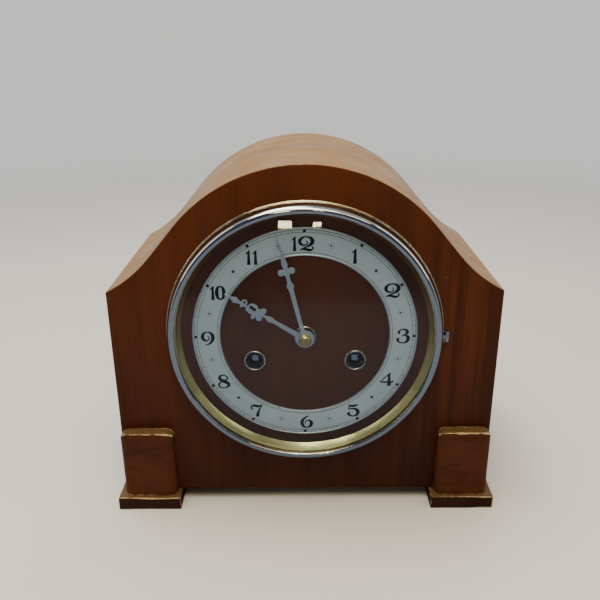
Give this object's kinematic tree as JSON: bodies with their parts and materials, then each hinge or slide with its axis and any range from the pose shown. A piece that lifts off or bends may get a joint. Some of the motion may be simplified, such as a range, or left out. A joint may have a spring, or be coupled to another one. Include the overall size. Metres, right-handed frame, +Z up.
{
  "type": "mantel clock",
  "caption": "Arched wooden mantel clock with a round hinged glass bezel, silvered chapter ring, serpentine hands and a striking pendulum movement behind a rear door.",
  "frame": {"origin": "middle of the footprint's bounding box, on the surface the feet stand on", "axes": "+X to the right seen from the front, along the width; +Y to the back, along the depth; +Z up; the dial faces -Y"},
  "size_m": [0.2584, 0.162, 0.236],
  "materials": {
    "veneer": "gloss",
    "case_wood": "gloss",
    "trim_wood": "gloss",
    "inner_wood": "satin",
    "chrome": "polished",
    "sight_metal": "polished",
    "glass": "polished",
    "silvered": "satin",
    "grommet_metal": "polished",
    "hand_metal": "satin",
    "brass": "satin",
    "steel": "satin",
    "spring_steel": "satin",
    "iron": "satin",
    "gong_steel": "satin"
  },
  "bodies": {
    "case": {"front_panel": "veneer", "left_side": "case_wood", "right_side": "case_wood", "arched_top": "case_wood", "base_board": "inner_wood", "back_panel": "inner_wood", "corner_blocks": "inner_wood", "pilasters": "trim_wood", "front_foot_plates": "trim_wood", "rear_feet": "trim_wood", "door_frame_hinges": "brass", "door_bullet_catch": "brass", "chapter_ring": "silvered", "dial_grommets": "grommet_metal", "bezel_hinge_plate": "chrome", "front_plate": "brass", "back_plate": "brass", "plate_pillars": "brass", "pillar_nuts": "steel", "movement_posts": "steel", "post_screws": "steel", "back_cock": "brass", "gong_block": "iron", "gong_rods": "gong_steel"},
    "bezel_door": {"bezel": "chrome", "sight_ring": "sight_metal", "bezel_glass": "glass", "bezel_hinge_tab": "chrome"},
    "rear_door": {"rear_door": "inner_wood", "door_leaf_hinges": "brass", "door_knob": "brass"},
    "minute_hand": {"minute_hand": "hand_metal", "hand_nut": "brass", "cannon_pinion": "brass"},
    "minute_wheel": {"minute_wheel": "brass"},
    "hour_hand": {"hour_hand": "hand_metal", "hour_wheel": "brass"},
    "going_barrel": {"going_barrel": "brass", "going_mainspring": "spring_steel"},
    "going_winder": {"going_winding_arbor": "steel"},
    "going_click": {"going_click": "steel"},
    "intermediate_wheel": {"intermediate_wheel": "brass"},
    "centre_wheel": {"centre_wheel": "brass"},
    "third_wheel": {"third_wheel": "brass"},
    "escape_wheel": {"escape_wheel": "brass"},
    "anchor": {"anchor": "steel", "crutch": "brass"},
    "pendulum": {"pendulum_rod": "steel", "pendulum_bob": "brass", "rating_nut": "brass"},
    "strike_barrel": {"strike_barrel": "brass", "strike_mainspring": "spring_steel"},
    "strike_winder": {"strike_winding_arbor": "steel"},
    "strike_click": {"strike_click": "steel"},
    "strike_second_wheel": {"strike_second_wheel": "brass"},
    "pin_wheel": {"pin_wheel": "brass"},
    "locking_wheel": {"locking_wheel": "brass"},
    "warning_wheel": {"warning_wheel": "brass"},
    "fly": {"fly": "steel"},
    "hammer": {"strike_hammer": "steel"}
  },
  "joints": [
    {"name": "bezel_hinge", "type": "hinge", "parent": "case", "child": "bezel_door", "pos_m": [0.0909, -0.063, 0.1261], "axis": [0, 0, 1], "range_deg": [0, 110]},
    {"name": "rear_door_hinge", "type": "hinge", "parent": "case", "child": "rear_door", "pos_m": [0.08025, 0.0766, 0.112], "axis": [0, 0, -1], "range_deg": [0, 120]},
    {"name": "minute_hand_turn", "type": "hinge", "parent": "case", "child": "minute_hand", "pos_m": [0, -0.0615, 0.1261], "axis": [0, 1, 0], "continuous": true},
    {"name": "minute_wheel_turn", "type": "hinge", "parent": "case", "child": "minute_wheel", "pos_m": [-0.00848, -0.0449, 0.13459], "axis": [0, 1, 0], "continuous": true},
    {"name": "hour_hand_turn", "type": "hinge", "parent": "case", "child": "hour_hand", "pos_m": [0, -0.0479, 0.1261], "axis": [0, 1, 0], "continuous": true},
    {"name": "third_wheel_turn", "type": "hinge", "parent": "case", "child": "third_wheel", "pos_m": [-0.00378, -0.0245, 0.14777], "axis": [0, 1, 0], "continuous": true},
    {"name": "centre_wheel_turn", "type": "hinge", "parent": "case", "child": "centre_wheel", "pos_m": [0, -0.0245, 0.1261], "axis": [0, 1, 0], "continuous": true},
    {"name": "intermediate_wheel_turn", "type": "hinge", "parent": "case", "child": "intermediate_wheel", "pos_m": [0.00433, -0.0245, 0.10341], "axis": [0, 1, 0], "continuous": true},
    {"name": "going_barrel_turn", "type": "hinge", "parent": "case", "child": "going_barrel", "pos_m": [0.0326, -0.0245, 0.1089], "axis": [0, 1, 0], "continuous": true},
    {"name": "escape_wheel_turn", "type": "hinge", "parent": "case", "child": "escape_wheel", "pos_m": [0.00002, -0.0155, 0.16716], "axis": [0, 1, 0], "continuous": true},
    {"name": "warning_wheel_turn", "type": "hinge", "parent": "case", "child": "warning_wheel", "pos_m": [-0.02744, -0.0175, 0.17632], "axis": [0, 1, 0], "continuous": true},
    {"name": "fly_turn", "type": "hinge", "parent": "case", "child": "fly", "pos_m": [-0.03664, -0.0225, 0.16992], "axis": [0, 1, 0], "continuous": true},
    {"name": "locking_wheel_turn", "type": "hinge", "parent": "case", "child": "locking_wheel", "pos_m": [-0.01636, -0.0215, 0.16992], "axis": [0, 1, 0], "continuous": true},
    {"name": "pin_wheel_turn", "type": "hinge", "parent": "case", "child": "pin_wheel", "pos_m": [-0.02401, -0.0315, 0.15667], "axis": [0, 1, 0], "continuous": true},
    {"name": "strike_second_wheel_turn", "type": "hinge", "parent": "case", "child": "strike_second_wheel", "pos_m": [-0.02999, -0.0245, 0.13758], "axis": [0, 1, 0], "continuous": true},
    {"name": "strike_barrel_turn", "type": "hinge", "parent": "case", "child": "strike_barrel", "pos_m": [-0.0326, -0.0245, 0.1089], "axis": [0, 1, 0], "continuous": true},
    {"name": "going_winding", "type": "hinge", "parent": "case", "child": "going_winder", "pos_m": [0.0326, -0.0435, 0.1089], "axis": [0, 1, 0], "continuous": true},
    {"name": "strike_winding", "type": "hinge", "parent": "case", "child": "strike_winder", "pos_m": [-0.0326, -0.0435, 0.1089], "axis": [0, 1, 0], "continuous": true},
    {"name": "going_click_lift", "type": "hinge", "parent": "case", "child": "going_click", "pos_m": [0.0456, -0.0432, 0.1164], "axis": [0, 1, 0], "range_deg": [0, 15], "stiffness_Nm_per_rad": 0.002},
    {"name": "strike_click_lift", "type": "hinge", "parent": "case", "child": "strike_click", "pos_m": [-0.0456, -0.0432, 0.1164], "axis": [0, -1, 0], "range_deg": [0, 15], "stiffness_Nm_per_rad": 0.002},
    {"name": "pendulum_swing", "type": "hinge", "parent": "case", "child": "pendulum", "pos_m": [0, 0, 0.1791], "axis": [0, 1, 0], "range_deg": [-3, 3]},
    {"name": "anchor_rock", "type": "hinge", "parent": "case", "child": "anchor", "pos_m": [0, -0.0155, 0.1791], "axis": [0, 1, 0], "range_deg": [-3, 3]},
    {"name": "hammer_lift", "type": "hinge", "parent": "case", "child": "hammer", "pos_m": [-0.058, -0.0245, 0.0971], "axis": [0, -1, 0], "range_deg": [0, 10], "stiffness_Nm_per_rad": 0.01}
  ],
  "couplings": [
    {"joint": "minute_wheel_turn", "follows": "minute_hand_turn", "ratio": -0.33333},
    {"joint": "hour_hand_turn", "follows": "minute_hand_turn", "ratio": 0.083333},
    {"joint": "centre_wheel_turn", "follows": "third_wheel_turn", "ratio": -0.1},
    {"joint": "intermediate_wheel_turn", "follows": "third_wheel_turn", "ratio": 0.016667},
    {"joint": "going_barrel_turn", "follows": "third_wheel_turn", "ratio": -0.002381},
    {"joint": "escape_wheel_turn", "follows": "third_wheel_turn", "ratio": -12},
    {"joint": "fly_turn", "follows": "warning_wheel_turn", "ratio": -6},
    {"joint": "locking_wheel_turn", "follows": "warning_wheel_turn", "ratio": -0.14286},
    {"joint": "pin_wheel_turn", "follows": "warning_wheel_turn", "ratio": 0.019048},
    {"joint": "strike_second_wheel_turn", "follows": "warning_wheel_turn", "ratio": -0.0021164},
    {"joint": "strike_barrel_turn", "follows": "warning_wheel_turn", "ratio": 0.00030234},
    {"joint": "anchor_rock", "follows": "pendulum_swing", "ratio": 1}
  ]
}
